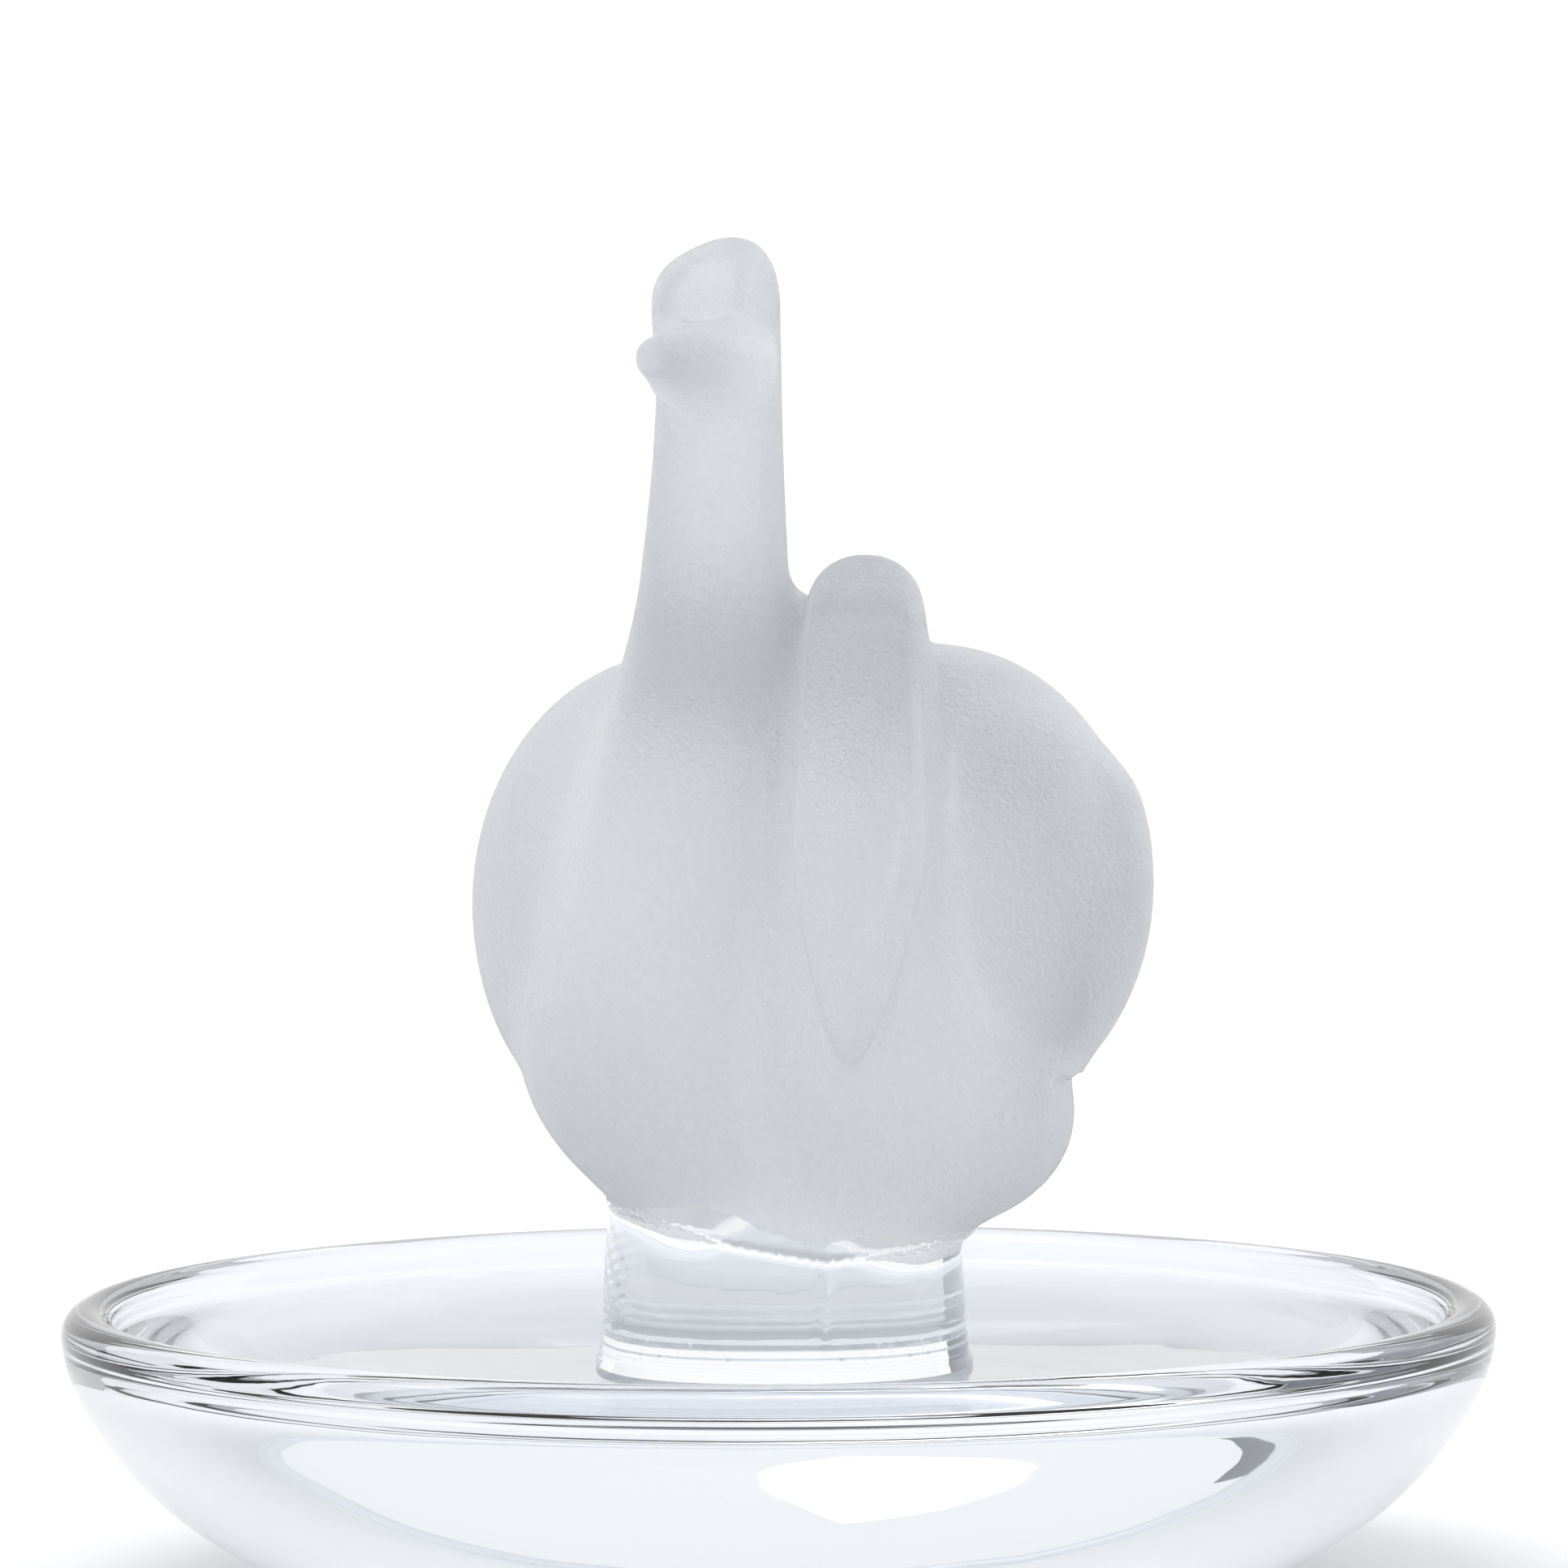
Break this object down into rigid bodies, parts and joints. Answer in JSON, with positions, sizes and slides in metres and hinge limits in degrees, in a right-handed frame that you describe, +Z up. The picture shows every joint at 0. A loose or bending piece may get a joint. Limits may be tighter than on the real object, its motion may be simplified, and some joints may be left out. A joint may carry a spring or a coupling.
{
  "type": "ring dish",
  "caption": "Crystal ring dish with a satin-frosted swan pair, necks raised and bowed, on a clear plinth in a thick shallow round dish.",
  "frame": {"origin": "centre of the dish's round underside, on the table", "axes": "+Z up, -Y the side the swans face, +X to the right as seen from the front"},
  "size_m": [0.098, 0.098, 0.0923],
  "materials": {
    "clear crystal": "fire-polished clear lead crystal",
    "frosted crystal": "satin acid-frosted crystal"
  },
  "bodies": {
    "root": {"dish": "clear crystal", "swan_pair": "frosted crystal"}
  },
  "joints": []
}
